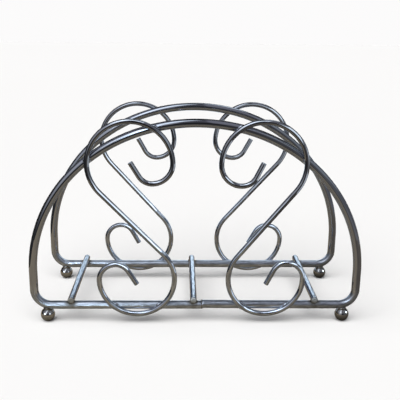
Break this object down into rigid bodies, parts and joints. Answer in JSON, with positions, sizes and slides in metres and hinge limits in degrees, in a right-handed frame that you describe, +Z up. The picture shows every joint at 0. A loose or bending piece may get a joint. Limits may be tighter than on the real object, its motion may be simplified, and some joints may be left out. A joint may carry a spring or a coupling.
{
  "type": "napkin holder",
  "caption": "Free-standing chrome wire napkin holder: arched front and back frames on ball feet, joined by crossbars that carry the napkins, with S-scrolls welded to the outer faces.",
  "frame": {"origin": "on the table surface, below the middle of the holder", "axes": "+Z up, +X along the holder's length to the right as seen from the front, +Y from the front frame to the back frame"},
  "size_m": [0.1598, 0.063, 0.0994],
  "materials": {
    "frame_wire": "bright chrome plate on steel wire, lightly worn",
    "crossbar_wire": "bright chrome plate on steel wire, lightly worn",
    "scroll_wire": "bright chrome plate on bent steel wire",
    "foot_ball": "bright chrome plate on steel balls, dulled near the welds"
  },
  "bodies": {
    "root": {"back_frame": "frame_wire", "crossbar_centre": "crossbar_wire", "crossbar_left": "crossbar_wire", "crossbar_right": "crossbar_wire", "foot_back_left": "foot_ball", "foot_back_right": "foot_ball", "foot_front_left": "foot_ball", "foot_front_right": "foot_ball", "front_frame": "frame_wire", "scroll_back_left": "scroll_wire", "scroll_back_right": "scroll_wire", "scroll_front_left": "scroll_wire", "scroll_front_right": "scroll_wire"}
  },
  "joints": []
}
